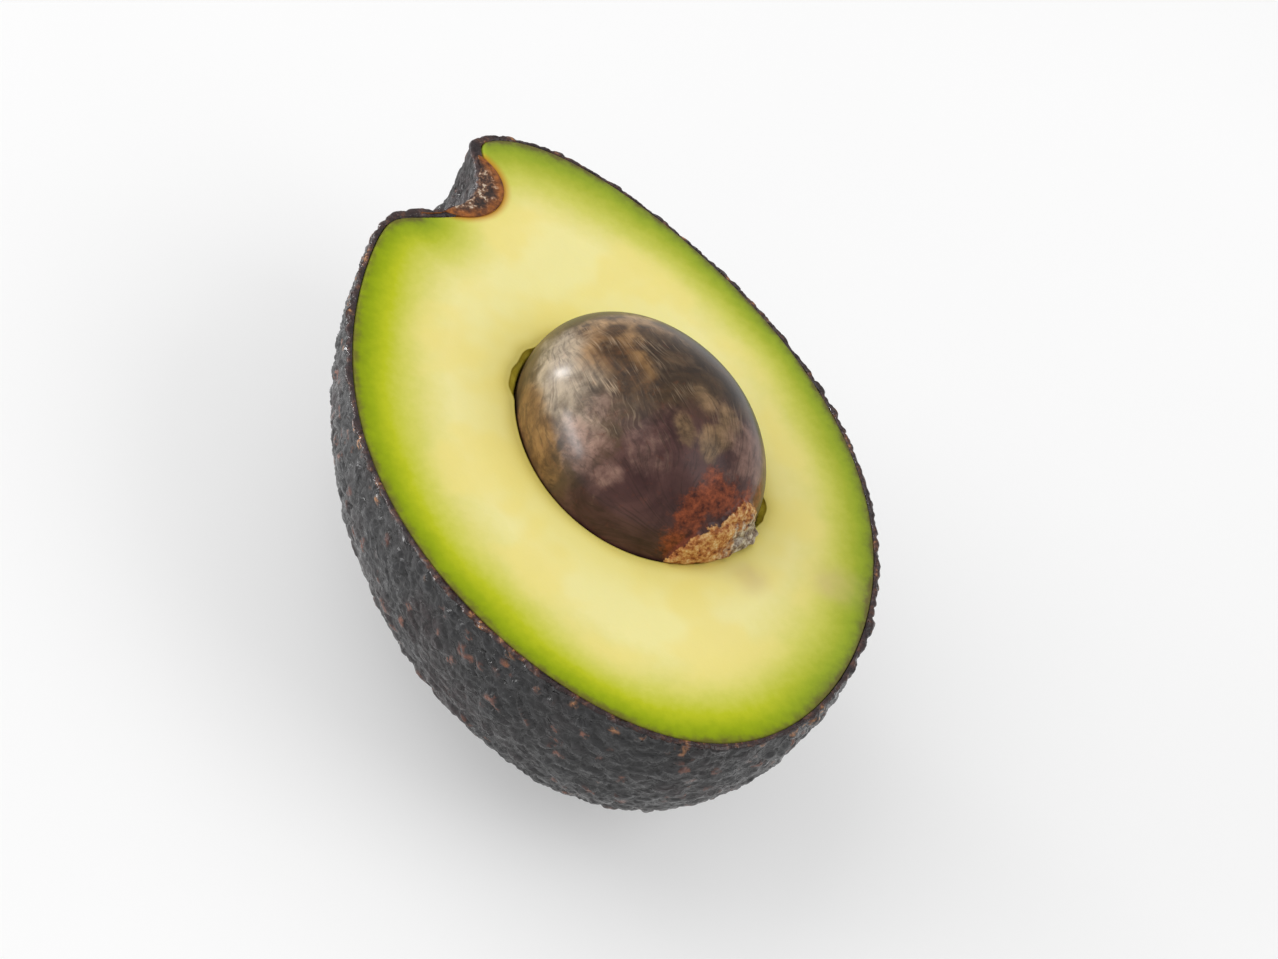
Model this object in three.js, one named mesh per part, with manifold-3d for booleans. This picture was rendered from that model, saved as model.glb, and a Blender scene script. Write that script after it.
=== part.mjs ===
// Half of an avocado, cut lengthways, with the seed still in it, lying on its back.
// Millimetres. +Y runs to the stem end, +X to the right as the cut face is seen from above, +Z up.
// The shapes are made with the cut face in the plane z = 0 and the fruit's middle at the origin.
// The group then lifts them, so that the skin rests on z = 0 with its box centred on the Z axis.
import * as THREE from "three";
import { ConvexHull } from "three/addons/math/ConvexHull.js";
import { mergeVertices } from "three/addons/utils/BufferGeometryUtils.js";
import Module from "manifold-3d";

// The flesh, as its outline shows on the cut face.
const FLESH_LENGTH = 100;
const FLESH_WIDTH = 66.4;
const NECK_TAPER = 0.1; // share by which the stem end is slimmer and the blossom end fuller
const END_TAPER = 0.17; // share by which both ends are slimmer than an ellipse
const DEPTH = 0.975; // depth under the cut at the middle, as a share of the half width
const DEPTH_AT_ENDS = 0.36; // how much of that share comes on top towards both ends
const SECTION_POWER = 2.1; // 2 is a round section, and more is a squarer one

// The skin, a thin shell round the flesh, with pebbles standing out of it.
const FIT_GAP = 0.3; // clear space between two pieces that touch
const SKIN_THICKNESS = 0.6; // in the grooves between the pebbles
const PEBBLE_HEIGHT = 0.75;
const PEBBLE_COUNT = 1900; // on the whole fruit, so about half of them are on this half
const PEBBLE_JITTER = 0.35; // share of a pebble's spacing by which it strays from the lattice
const LOWEST_PEBBLE = 0.6; // height of the lowest pebbles, as a share of the highest
const FLAT_CUT = 0.3; // how much the fruit is flattened where it rests

// The hollow at the stem end, an oblique bowl beside the tip, and the corky scar in its corner.
const HOLLOW_CENTRE = new THREE.Vector3(-18, 53.4, 0);
const HOLLOW_RADII = new THREE.Vector3(13.6, 16.2, 11);
const HOLLOW_POWER = 4; // squareness of the hollow
const HOLLOW_BLEND = 12; // sharpness of its rim
const HOLLOW_LINING = 1.4; // the skin is thicker here
const SCAR_CENTRE = new THREE.Vector3(-8.2, 42.6, 0);
const SCAR_RADIUS = 6.3;

// The seed, an ovoid with its blunt end to the blossom end, and the cavity that it sits in.
const SEED_LENGTH = 38;
const SEED_WIDTH = 30.2;
const SEED_TAPER = 0.09;
const SEED_CENTRE = new THREE.Vector3(3, -2.4, 0);
const SEED_TURN = THREE.MathUtils.degToRad(10); // its stem end leans to the left
const CRUST_CENTRE = new THREE.Vector3(0.3, -0.88, 0.36); // the torn corky patch, on a unit sphere
const CRUST_REACH = 0.55;
const CRUST_HEIGHT = 0.9;
const LOWEST_CRUST = 0.3; // height between the crust's lumps, as a share of the highest
const CRUST_FADE = 0.15; // the crust fades out over this height above the cut face
const LUMP_TURNS = new THREE.Vector2(19, 23); // how closely the lumps follow across and upwards
const LUMP_SLANT = 9; // how much their rows slant
const LUMP_START = 4;
const CAVITY_GROWTH = new THREE.Vector3(0.7, 0.7, 0.4); // how much wider, longer and deeper
const CAVITY_SHIFT = new THREE.Vector3(-0.3, 0.25, 0); // the seed has come loose on this side

// How finely the round forms are divided, round them and from end to end.
const FRUIT_STEPS = [48, 36];
const SEED_STEPS = [44, 30];
const SCAR_STEPS = [24, 16];
const STATIONS = 400; // along the fruit, to spread the pebbles evenly
const REST_STEP = 0.01; // of the fruit's length, to find its deepest place

const GOLDEN_ANGLE = Math.PI * (3 - Math.sqrt(5));
const FAR = 200; // larger than the fruit in every direction
const TINY = 1e-4; // vertices closer than this are one
const PLACES_SEED = 7;
const HEIGHTS_SEED = 11;

const wasm = await Module();
wasm.setup();

// Numbers from 0 to 1 that are the same in every run.
function seededRandom(seed) {
  let state = seed;
  return () => {
    state = (state + 0x6d2b79f5) | 0;
    let mixed = Math.imul(state ^ (state >>> 15), 1 | state);
    mixed = (mixed + Math.imul(mixed ^ (mixed >>> 7), 61 | mixed)) ^ mixed;
    return ((mixed ^ (mixed >>> 14)) >>> 0) / 2 ** 32;
  };
}

// A closed geometry as a solid that can be cut and joined.
function solidOf(geometry) {
  const bare = geometry.clone();
  bare.deleteAttribute("normal");
  bare.deleteAttribute("uv");
  const merged = mergeVertices(bare, TINY);
  return new wasm.Manifold(
    new wasm.Mesh({
      numProp: 3,
      vertProperties: new Float32Array(merged.attributes.position.array),
      triVerts: new Uint32Array(merged.index.array),
    }),
  );
}

// A solid as a geometry again.
function geometryOf(solid) {
  const mesh = solid.getMesh();
  const geometry = new THREE.BufferGeometry();
  const position = new THREE.BufferAttribute(new Float32Array(mesh.vertProperties), 3);
  geometry.setAttribute("position", position);
  geometry.setIndex(new THREE.BufferAttribute(new Uint32Array(mesh.triVerts), 1));
  geometry.computeVertexNormals();
  return geometry;
}

// Every vertex of a geometry, taken to where the given rule puts it.
function moveVertices(geometry, rule) {
  const position = geometry.attributes.position;
  const vertex = new THREE.Vector3();
  for (let i = 0; i < position.count; i++) {
    vertex.fromBufferAttribute(position, i);
    const moved = rule(vertex, i);
    position.setXYZ(i, moved.x, moved.y, moved.z);
  }
  return geometry;
}

// Half width of the fruit at a place along it: -1 is the blossom end and 1 the stem end.
function halfWidth(along, growth) {
  const widest = FLESH_WIDTH / 2 + growth;
  const slimming = 1 - NECK_TAPER * along - END_TAPER * along * along;
  return widest * Math.sqrt(Math.max(0, 1 - along * along)) * slimming;
}

function halfDepth(along, growth) {
  return halfWidth(along, growth) * (DEPTH + DEPTH_AT_ENDS * along * along);
}

// Whether a point is inside the whole fruit, grown by so much on all sides.
function isInside(point, growth) {
  const along = point.y / (FLESH_LENGTH / 2 + growth);
  if (Math.abs(along) >= 1) return false;
  const across = Math.abs(point.x) / halfWidth(along, growth);
  const down = Math.abs(point.z) / halfDepth(along, growth);
  return across ** SECTION_POWER + down ** SECTION_POWER < 1;
}

// A point on the stem hollow's wall or outside it, for one that may be inside the hollow.
function outOfHollow(point, lining) {
  const away = point.clone().sub(HOLLOW_CENTRE);
  const reach =
    ((Math.abs(away.x) / (HOLLOW_RADII.x + lining)) ** HOLLOW_POWER +
      (Math.abs(away.y) / (HOLLOW_RADII.y + lining)) ** HOLLOW_POWER +
      (Math.abs(away.z) / (HOLLOW_RADII.z + lining)) ** HOLLOW_POWER) **
    (1 / HOLLOW_POWER);
  const pushed = (reach ** HOLLOW_BLEND + 1) ** (1 / HOLLOW_BLEND);
  return HOLLOW_CENTRE.clone().addScaledVector(away, pushed / reach);
}

// Where the line from the fruit's middle, towards a place on a unit sphere, meets its surface.
function surfacePoint(place, growth, lining) {
  const direction = new THREE.Vector3(FLESH_WIDTH, FLESH_LENGTH, FLESH_WIDTH);
  direction.multiply(place).normalize();
  let near = 0;
  let far = FLESH_LENGTH;
  const point = new THREE.Vector3();
  while (far - near > TINY / 100) {
    const middle = (near + far) / 2;
    point.copy(direction).multiplyScalar(middle);
    if (isInside(point, growth)) near = middle;
    else far = middle;
  }
  return outOfHollow(point, lining);
}

// The whole fruit's smooth form.
function smoothFruit(growth, lining) {
  const ball = new THREE.SphereGeometry(1, ...FRUIT_STEPS);
  return solidOf(moveVertices(ball, (place) => surfacePoint(place, growth, lining)));
}

// Places on a unit sphere for the pebbles: a spiral lattice that is even on the fruit.
function pebblePlaces() {
  const areas = [0];
  for (let i = 1; i <= STATIONS; i++) {
    const along = -1 + (2 * i - 1) / STATIONS;
    const round = Math.sqrt(1 - along * along);
    const slope = ((FLESH_WIDTH / FLESH_LENGTH) * along) / round;
    areas.push(areas[i - 1] + halfWidth(along, 0) * Math.hypot(1, slope));
  }
  const spacing = Math.sqrt((4 * Math.PI) / PEBBLE_COUNT);
  const random = seededRandom(PLACES_SEED);
  const places = [];
  let station = 0;
  for (let i = 0; i < PEBBLE_COUNT; i++) {
    const stray = PEBBLE_JITTER * (random() - 0.5);
    const wanted = (areas[STATIONS] * (i + 0.5 + stray)) / PEBBLE_COUNT;
    while (areas[station + 1] < wanted) station++;
    const part = (wanted - areas[station]) / (areas[station + 1] - areas[station]);
    const along = -1 + (2 * (station + part)) / STATIONS;
    const turn = i * GOLDEN_ANGLE + spacing * PEBBLE_JITTER * (random() - 0.5);
    const round = Math.sqrt(1 - along * along);
    places.push(new THREE.Vector3(round * Math.cos(turn), along, round * Math.sin(turn)));
  }
  return places;
}

// The fruit's outside: a low peak on every lattice place, and grooves half way to its neighbours.
function pebbledFruit(growth) {
  const peaks = pebblePlaces();
  const numberOf = new Map(peaks.map((place, number) => [place, number]));
  const faces = new ConvexHull().setFromPoints(peaks).faces;
  const places = [...peaks];
  const grooveOf = new Map();
  for (const face of faces) {
    const middle = new THREE.Vector3();
    for (let edge = face.edge, side = 0; side < 3; side++, edge = edge.next) {
      middle.add(edge.head().point);
    }
    grooveOf.set(face, places.length);
    places.push(middle.normalize());
  }
  const index = [];
  for (const face of faces) {
    for (let edge = face.edge, side = 0; side < 3; side++, edge = edge.next) {
      index.push(numberOf.get(edge.tail().point), grooveOf.get(edge.twin.face), grooveOf.get(face));
    }
  }
  const geometry = new THREE.BufferGeometry();
  geometry.setFromPoints(places.map((place) => surfacePoint(place, growth, 0)));
  geometry.setIndex(index);
  geometry.computeVertexNormals();
  const random = seededRandom(HEIGHTS_SEED);
  const outward = new THREE.Vector3();
  moveVertices(geometry, (vertex, i) => {
    const share = i < peaks.length ? THREE.MathUtils.lerp(LOWEST_PEBBLE, 1, random()) : 0;
    outward.fromBufferAttribute(geometry.attributes.normal, i);
    return vertex.addScaledVector(outward, share * PEBBLE_HEIGHT);
  });
  return solidOf(geometry);
}

function scarBall(growth) {
  const geometry = new THREE.SphereGeometry(SCAR_RADIUS + growth, ...SCAR_STEPS);
  geometry.translate(SCAR_CENTRE.x, SCAR_CENTRE.y, SCAR_CENTRE.z);
  return solidOf(geometry);
}

// An ovoid with its blunt end to the blossom end, placed as the seed is, with lumps if given.
function ovoid(growth, shift, lumps) {
  const geometry = new THREE.SphereGeometry(1, ...SEED_STEPS);
  moveVertices(geometry, (vertex) => {
    const out = lumps(vertex);
    const round = 1 - SEED_TAPER * vertex.y;
    return new THREE.Vector3(
      vertex.x * (SEED_WIDTH / 2 + growth.x + out) * round,
      vertex.y * (SEED_LENGTH / 2 + growth.y + out),
      vertex.z * (SEED_WIDTH / 2 + growth.z + out) * round,
    );
  });
  geometry.rotateZ(SEED_TURN);
  const centre = SEED_CENTRE.clone().add(shift);
  geometry.translate(centre.x, centre.y, centre.z);
  return solidOf(geometry);
}

// The corky patch's small lumps, which fade out towards its edge and at the cut face.
function crustLumps(place) {
  const patch = CRUST_CENTRE.clone().normalize();
  const inward = Math.max(0, 1 - place.distanceTo(patch) / CRUST_REACH);
  const across = Math.sin(LUMP_TURNS.x * place.x + LUMP_START);
  const upwards = Math.cos(LUMP_TURNS.y * place.z + LUMP_SLANT * place.x);
  const lump = THREE.MathUtils.lerp(LOWEST_CRUST, 1, (1 + across * upwards) / 2);
  const above = THREE.MathUtils.smoothstep(place.z, 0, CRUST_FADE);
  return CRUST_HEIGHT * Math.sqrt(inward) * lump * above;
}

// A block from some depth under the cut face up to a level, as wide as anything here.
function block(depth, level) {
  const geometry = new THREE.BoxGeometry(FAR, FAR, level + depth);
  geometry.translate(0, 0, (level - depth) / 2);
  return solidOf(geometry);
}

// Depth of the flat spot that the fruit rests on, under the cut face.
function restDepth() {
  let deepest = 0;
  for (let along = -1; along <= 1; along += REST_STEP) {
    deepest = Math.max(deepest, halfDepth(along, FIT_GAP + SKIN_THICKNESS));
  }
  return deepest - FLAT_CUT;
}

function pieceOf(name, solid, colour, roughness) {
  const material = new THREE.MeshStandardMaterial({ color: colour, roughness, metalness: 0 });
  const mesh = new THREE.Mesh(geometryOf(solid), material);
  mesh.name = name;
  return mesh;
}

function skinPiece(rest) {
  const outside = pebbledFruit(FIT_GAP + SKIN_THICKNESS).intersect(block(rest, 0));
  const inside = smoothFruit(FIT_GAP, HOLLOW_LINING).intersect(block(rest - SKIN_THICKNESS, FAR));
  return pieceOf("skin", outside.subtract(inside).subtract(scarBall(FIT_GAP)), 0x241b1c, 0.45);
}

function fleshPiece(rest) {
  const floor = rest - SKIN_THICKNESS - FIT_GAP;
  const body = smoothFruit(0, HOLLOW_LINING + FIT_GAP).intersect(block(floor, 0));
  const cavity = ovoid(CAVITY_GROWTH, CAVITY_SHIFT, () => 0);
  return pieceOf("flesh", body.subtract(cavity).subtract(scarBall(FIT_GAP)), 0xe6dc85, 0.4);
}

function scarPiece(rest) {
  const fruit = smoothFruit(FIT_GAP + SKIN_THICKNESS, 0).intersect(block(rest, 0));
  return pieceOf("stem_scar", fruit.intersect(scarBall(0)), 0x8a4a1e, 0.8);
}

function seedPiece() {
  const none = new THREE.Vector3();
  return pieceOf("seed", ovoid(none, none, crustLumps), 0x5a4237, 0.35);
}

function buildAvocado() {
  const rest = restDepth();
  const skin = skinPiece(rest);
  const avocado = new THREE.Group();
  avocado.add(skin, fleshPiece(rest), scarPiece(rest), seedPiece());
  const box = new THREE.Box3().setFromObject(skin);
  avocado.position.set(-(box.min.x + box.max.x) / 2, -(box.min.y + box.max.y) / 2, rest);
  return avocado;
}

export default buildAvocado();
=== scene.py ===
"""Looks of an avocado half with its seed, lying on its back with the cut face up.

The shapes are worked out in millimetres, with the cut face in the plane z = 0, the fruit's
middle at the origin and the stem end towards +Y. add_piece brings them into the frame, in metres.
Colours are given as a screen shows them, each part from 0 to 255.
"""

import itertools
import math

import bpy
import numpy as np
from mathutils import Matrix, Vector


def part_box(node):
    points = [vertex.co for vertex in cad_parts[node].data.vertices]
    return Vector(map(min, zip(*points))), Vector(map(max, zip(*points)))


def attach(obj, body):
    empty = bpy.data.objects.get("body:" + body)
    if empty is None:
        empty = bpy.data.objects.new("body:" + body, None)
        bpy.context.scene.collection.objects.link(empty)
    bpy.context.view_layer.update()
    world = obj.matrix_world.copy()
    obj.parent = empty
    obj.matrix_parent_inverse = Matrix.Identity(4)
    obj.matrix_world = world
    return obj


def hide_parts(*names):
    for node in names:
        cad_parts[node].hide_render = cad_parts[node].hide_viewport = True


MM = 0.001
QUARTER_TURN = math.pi / 2
FULL_TURN = 2 * math.pi

# The fruit, as its flesh shows on the cut face.
FLESH_LENGTH = 100.0
FLESH_WIDTH = 66.4
NECK_TAPER = 0.1
END_TAPER = 0.17
DEPTH = 0.975
DEPTH_AT_ENDS = 0.36
SECTION_POWER = 2.1

# The skin.
SKIN_BACK = 0.12  # where the skin's inner wall lies, outside the flesh
SKIN_FACE = 0.55  # where its outer face lies, in the grooves
SKIN_LIFT = 0.4  # how far the inner wall stays above the fruit's lowest point
SKIN_GRID = 280  # faces along a side of the square grid of its outer face
SKIN_POLARS = np.linspace(90, 0, 9)[1:-1]  # rings of its inner wall, in degrees from straight down
INNER_RIM_DROP = 0.05

# The skin's cut rim, which is ragged: the least of each measure, and how much more it can be.
RIM_DROP = (0.15, 0.35)
LIP_DROP = (0.04, 0.1)
LIP_INSET = (0.1, 0.2)

# Pebbles on the skin: large ones with smaller ones on and between them.
PEBBLE_SIZE = 2.6
PEBBLE_HEIGHT = 0.95
PEBBLE_STRETCH = np.array([1.0, 1.0, 1.1])
LOWEST_PEBBLE = 0.3  # share of the highest pebble
SMALL_PEBBLE_SHARE = 0.3
SKIN_WAVES = 0.15

# Rusty flecks cover the pebbles whose number from 0 to 1 is above a level, which falls at the rim.
FLECK_LEVEL = 0.945
FLECK_LEVEL_DROP = 0.09
FLECK_RIM_REACH = 6.0
TAN_REACH = (1.0, 3.0)  # the flecks turn from tan to rust between these depths under the cut face

# The hollow at the stem end and the corky scar in its corner.
HOLLOW_CENTRE = np.array([-18.0, 53.4, 0.0])
HOLLOW_RADII = np.array([13.6, 16.2, 11.0])
HOLLOW_POWER = 4.0
HOLLOW_BLEND = 12.0
HOLLOW_LINING = 1.15
SCAR_CENTRE = np.array([-8.2, 42.6, 0.0])
SCAR_RADIUS = 6.3
SCAR_BLEND = 24
SCAR_TOWARDS = math.radians(-46)  # direction of the hollow's corner, seen from the scar's centre
SCAR_REACH = 1.6  # how far the scar reaches to both sides of it, and down, as angles
SCAR_DEPTH = 1.1
SCAR_STEPS = (121, 33, 12)  # points along it, down it, and across its cut
SCAR_GAP = 0.1  # between the scar's ball and the flesh round it
SCAR_PROUD = 0.1  # how far the scar stands out of the hollow's wall, but for its relief
SCAR_SINK = 0.8  # how far its edges sink into the wall
SCAR_EDGE = (0.12, 0.35)  # share of its reach over which they do
SCAR_COVER = 0.3  # how far its back lies behind the hollow's wall
SCAR_THINNEST = 0.1
SCAR_LIFT = 0.05  # how far the cut's front edge stands above the cut face
SCAR_CUT_RELIEF = 0.13
SCAR_BROWN = (0.5, 1.5)  # width of the brown band beside the flesh, from its core to its end

# The seed and the cavity that it sits in.
SEED_HALF = np.array([15.1, 19.0, 15.1])
SEED_TAPER = 0.09
SEED_CENTRE = np.array([3.0, -2.4, 0.0])
SEED_TURN = math.radians(10)
SEED_SPAN = 15.0  # the seed's size for noise that is laid over its unit sphere
SEED_GRID = 110  # faces along a side of each of the six grids that make it up
CAVITY_GAP = 0.25

# The flesh's mesh: rings down the cavity, rows from its edge to the outline, rings down the back.
FLESH_COLUMNS = 660
CAVITY_POLARS = [*np.linspace(6, 80, 14), 82, 83.5, 84.5, 85.5, 86.5, 87.5, 88.5, 89.2]
BACK_POLARS = np.linspace(87, 6, 12)
FACE_ROWS = 84
FACE_ROW_POWER = 0.9
FACE_MARGIN = 0.008  # share of the way that is left free at both ends for the rounded edges
EDGE_STEP = np.array([0.0, 0.0, 0.12])  # from the cut face down to the ring under each edge
EDGE_SLANT = 0.001
FLESH_LINING = HOLLOW_LINING + 0.15
FLESH_LIFT = 0.9  # how far the flesh stays above the fruit's lowest point
OUTLINE_SAMPLES = 8001

# Low relief of the cut face: waves, and how deep and how wide its edges are rounded.
BROAD_WAVES = 0.05
FINE_WAVES = 0.02
CAVITY_ROUNDING = (0.22, 0.4)
RIM_ROUNDING = (0.1, 0.3)

# A point in the cavity from which nearly all of the flesh's outline can be seen, and the place
# right of the scar where it can't. Rows of points that end there bow to the right to reach it.
FAN_CENTRE = np.array([16.0, 2.0])
FAN_SMOOTHING = 10  # over how many neighbours the rows' directions are evened out
BOW_PLACE = np.array([-3.2, 47.5])
BOW_REACH = 6.0
BOW = np.array([2.5, 0.0, 0.0])

# Pockets in the cavity's edge: where they start and end round it, and how wide they open.
POCKETS = [(1.96, 2.62, 1.0), (5.36, 5.78, 0.95)]
POCKET_SLOPE = 0.16  # the angle over which they open
POCKET_FLOOR = (0.015, 0.06)  # between these depths, as shares of the seed's, they close

# Colours of the cut flesh by distance from its rim in millimetres, with more vivid ones on the
# left. The band narrows to the right, and beside the scar the distance gets a head start.
BAND_REACH = 14.0
BAND_TONES = [
    (0.2, (104, 100, 50)),
    (0.7, (122, 134, 48)),
    (1.3, (136, 152, 44)),
    (2.2, (150, 166, 46)),
    (3.4, (168, 177, 56)),
    (5.0, (188, 191, 76)),
    (7.0, (206, 204, 98)),
    (9.5, (224, 216, 130)),
    (13.0, (236, 227, 156)),
]
VIVID_TONES = [
    (0.0, (104, 102, 34)),
    (1.0, (134, 152, 6)),
    (2.0, (150, 167, 8)),
    (4.0, (184, 191, 26)),
    (8.0, (223, 216, 110)),
]
BAND_NARROWING = 0.22
BAND_NARROWING_PLACES = (2, 26)
HEAD_START = 8.5
HEAD_START_REACH = (6.4, 10.0)  # from the scar's centre
FAR_FROM_SEED = 30.0

# Other colours of the flesh, and its greyish smudges right of the seed's lower end: where they lie,
# their reach and their strength.
WARM_TONE = (236, 220, 132)
GLOW_TONE = (232, 216, 116)
HALO_TONE = (224, 204, 96)
STAIN_TONE = (188, 122, 34)
SMUDGE_TONE = (204, 180, 132)
CAVITY_TONES = [(0.3, (194, 172, 44)), (0.7, (228, 208, 76))]
SMUDGES = [((24.0, -25.0), 5.0, 0.5), ((12.0, -24.0), 4.0, 0.45)]

# Colours of the skin and of the scar, along a noise from 0 to 1.
CHARCOAL_TONES = [(0.3, (15, 15, 16)), (0.7, (38, 38, 40))]
PLUM_TONES = [(0.3, (20, 13, 14)), (0.7, (50, 35, 36))]
# A painted shade: the grooves between the pebbles are darkened towards this near-black, as if shade
# lay in them.
PAINTED_GROOVE_SHADE = (8, 7, 8)
RUST_TONES = [(0.35, (68, 36, 30)), (0.65, (120, 76, 58))]
TAN_TONES = [(0.35, (104, 62, 38)), (0.65, (182, 128, 78))]
RIM_TONES = [(0.38, (30, 17, 20)), (0.52, (54, 34, 32)), (0.6, (92, 58, 42)), (0.67, (176, 124, 80))]
FLAKY_TONES = [
    (0.36, (24, 15, 13)),
    (0.48, (64, 40, 28)),
    (0.56, (122, 84, 58)),
    (0.63, (206, 190, 168)),
]
BROWN_TONES = [(0.35, (76, 34, 10)), (0.65, (168, 98, 34))]

# The seed's base colours, and what lies over them in patches: for each layer of the coat its
# strength, its colours and the noise that they follow, and then the torn end from below upwards,
# with where each layer starts and where it covers fully.
SEED_TONES = [(0.32, (40, 30, 22)), (0.45, (58, 44, 32)), (0.58, (76, 58, 40)), (0.7, (66, 46, 29))]
COAT_LAYERS = [
    ("plum", 0.9, [(0.3, (50, 27, 28)), (0.7, (90, 60, 58))], "mottle"),
    ("ochre", 0.85, [(0.35, (106, 78, 48)), (0.65, (172, 138, 98))], "blots"),
    ("olive", 0.85, [(0.35, (86, 68, 46)), (0.65, (152, 122, 88))], "blots"),
    # This layer is a painted sheen: a paler, silvery coat on the seed's upper left, where the light
    # catches it.
    ("painted_sheen", 0.85, [(0.3, (116, 102, 84)), (0.7, (178, 162, 140))], "blots"),
    # This layer is partly a painted sheen on the seed's left side, and partly a paler pinkish tone at
    # its lower right.
    ("lilac_and_sheen", 0.8, [(0.35, (96, 70, 62)), (0.65, (146, 114, 102))], "blots"),
    ("brown", 0.85, [(0.35, (86, 58, 32)), (0.65, (134, 100, 60))], "blots"),
    ("spots", 0.9, [(0.35, (34, 20, 8)), (0.65, (70, 46, 22))], "fine"),
]
DARK_FIBRE_TONE = (38, 26, 20)
HAIR_TONE = (182, 158, 130)
RED_TONES = [(0.35, (66, 26, 16)), (0.65, (146, 74, 44))]
CRUST_TONES = [
    (0.34, (92, 42, 20)),
    (0.46, (164, 100, 52)),
    (0.58, (204, 156, 96)),
    (0.68, (226, 204, 164)),
]
FLAKE_TONES = [(0.36, (58, 44, 42)), (0.48, (142, 124, 108)), (0.6, (206, 196, 180))]
TORN_LAYERS = [
    ("red", RED_TONES, (0.1, 0.8)),
    ("crust", CRUST_TONES, (0.4, 0.6)),
    ("flake", FLAKE_TONES, (0.25, 0.85)),
]

# Patches on the seed: where each lies on a unit sphere, its reach, and how strong it is.
SEED_PATCHES = {
    # Painted sheen: pale patches on the seed's upper left, where the light catches it.
    "painted_sheen": [
        ((-0.63, 0.51, 0.58), 0.42, 1.0),
        ((-0.8, 0.25, 0.5), 0.42, 0.9),
        ((-0.6, 0.25, 0.75), 0.25, 0.7),
        ((-0.86, 0.0, 0.5), 0.3, 0.6),
    ],
    "ochre": [
        ((-0.34, 0.46, 0.83), 0.36, 1.0),
        ((-0.1, 0.5, 0.86), 0.36, 0.9),
        ((0.15, 0.5, 0.85), 0.34, 0.8),
    ],
    "olive": [
        ((-0.21, -0.46, 0.86), 0.14, 0.9),
        ((0.02, -0.54, 0.84), 0.16, 0.9),
        ((0.15, -0.52, 0.84), 0.14, 1.0),
        ((0.26, -0.43, 0.87), 0.16, 1.0),
        ((0.1, -0.3, 0.95), 0.2, 0.7),
    ],
    "plum": [((-0.5, -0.62, 0.6), 0.5, 1.0)],
    # The patches on the left are painted sheen; those at the lower right are a paler pinkish tone.
    "lilac_and_sheen": [
        ((-0.86, -0.21, 0.47), 0.26, 0.7),
        ((-0.78, -0.48, 0.41), 0.2, 0.7),
        ((-0.7, -0.05, 0.7), 0.25, 0.4),
        ((0.36, -0.62, 0.7), 0.3, 0.9),
        ((0.55, -0.62, 0.56), 0.34, 1.0),
        ((-0.55, -0.45, 0.7), 0.25, 0.4),
    ],
    "brown": [
        ((-0.95, 0.29, 0.1), 0.3, 1.0),
        ((-0.97, 0.0, 0.12), 0.26, 0.9),
        ((-0.33, 0.27, 0.9), 0.34, 1.0),
        ((-0.36, 0.08, 0.93), 0.26, 0.8),
    ],
    "spots": [
        ((-0.17, 0.47, 0.87), 0.15, 1.0),
        ((-0.32, 0.28, 0.9), 0.17, 1.0),
        ((-0.37, 0.12, 0.92), 0.17, 1.0),
        ((-0.49, 0.03, 0.87), 0.16, 0.9),
        ((-0.32, -0.11, 0.94), 0.18, 0.8),
        ((0.05, 0.36, 0.93), 0.14, 0.8),
        ((0.3, 0.42, 0.85), 0.14, 0.8),
        ((0.55, 0.4, 0.73), 0.3, 0.7),
        ((0.68, 0.15, 0.7), 0.28, 0.6),
    ],
    "red": [
        ((0.03, -0.74, 0.67), 0.12, 1.0),
        ((0.0, -0.82, 0.57), 0.18, 1.0),
        ((-0.11, -0.86, 0.49), 0.2, 1.0),
        ((0.1, -0.85, 0.5), 0.2, 0.9),
        ((-0.2, -0.92, 0.33), 0.2, 1.0),
        ((-0.3, -0.94, 0.19), 0.16, 0.9),
        ((0.3, -0.85, 0.42), 0.16, 0.8),
        ((0.5, -0.8, 0.33), 0.14, 0.8),
    ],
    "haired": [
        ((-0.45, 0.35, 0.82), 0.45, 1.0),
        ((-0.6, 0.0, 0.8), 0.42, 0.9),
        ((-0.25, -0.1, 0.96), 0.35, 0.7),
        ((-0.5, -0.35, 0.79), 0.3, 0.5),
        ((0.0, 0.35, 0.93), 0.35, 0.6),
        ((0.25, -0.4, 0.88), 0.25, 0.5),
    ],
}
PATCH_CORE = 0.25  # shares of a patch's reach between which it fades
PATCH_END = 1.25
PLUM_END = (-0.1, -0.55)  # the whole blunt end is plum as well, from here to here along Y

# The torn crust's upper edge on the unit sphere: places along X and how high it reaches there.
CRUST_PLACES = [-0.4, -0.31, -0.12, 0.1, 0.31, 0.45, 0.62]
CRUST_TOPS = [-0.3, 0.1, 0.3, 0.34, 0.44, 0.32, -0.2]
FLAKE_PLACE = np.array([0.47, -0.88, 0.02])
FLAKE_REACH = (0.14, 0.48)
CRUST_BASE = 0.25  # least height of the crust, and how high its lumps stand on that
CRUST_LUMPS = 0.95
CRUST_LUMPS_RIGHT = 0.7
FLAKE_PIT_LEVEL = 0.32
FLAKE_PIT_DEPTH = 0.5
COAT_DENTS = 0.1

# Where the camera stands, as the photograph sees the cut face.
VIEW_BACK = Vector((-0.4215, -0.6187, 0.6630))
VIEW_UP = Vector((-0.0233, 0.7383, 0.6741))
VIEW_DISTANCE = 0.906
VIEW_ASIDE = 0.0121  # how far right of the picture's middle the fruit's middle lies
VIEW_BELOW = 0.0174
AIM_ASIDE = 0.004
AIM_BELOW = 0.006
LENS = 205.0
SENSOR_WIDTH = 36
CLIP_START = 0.01

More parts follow.
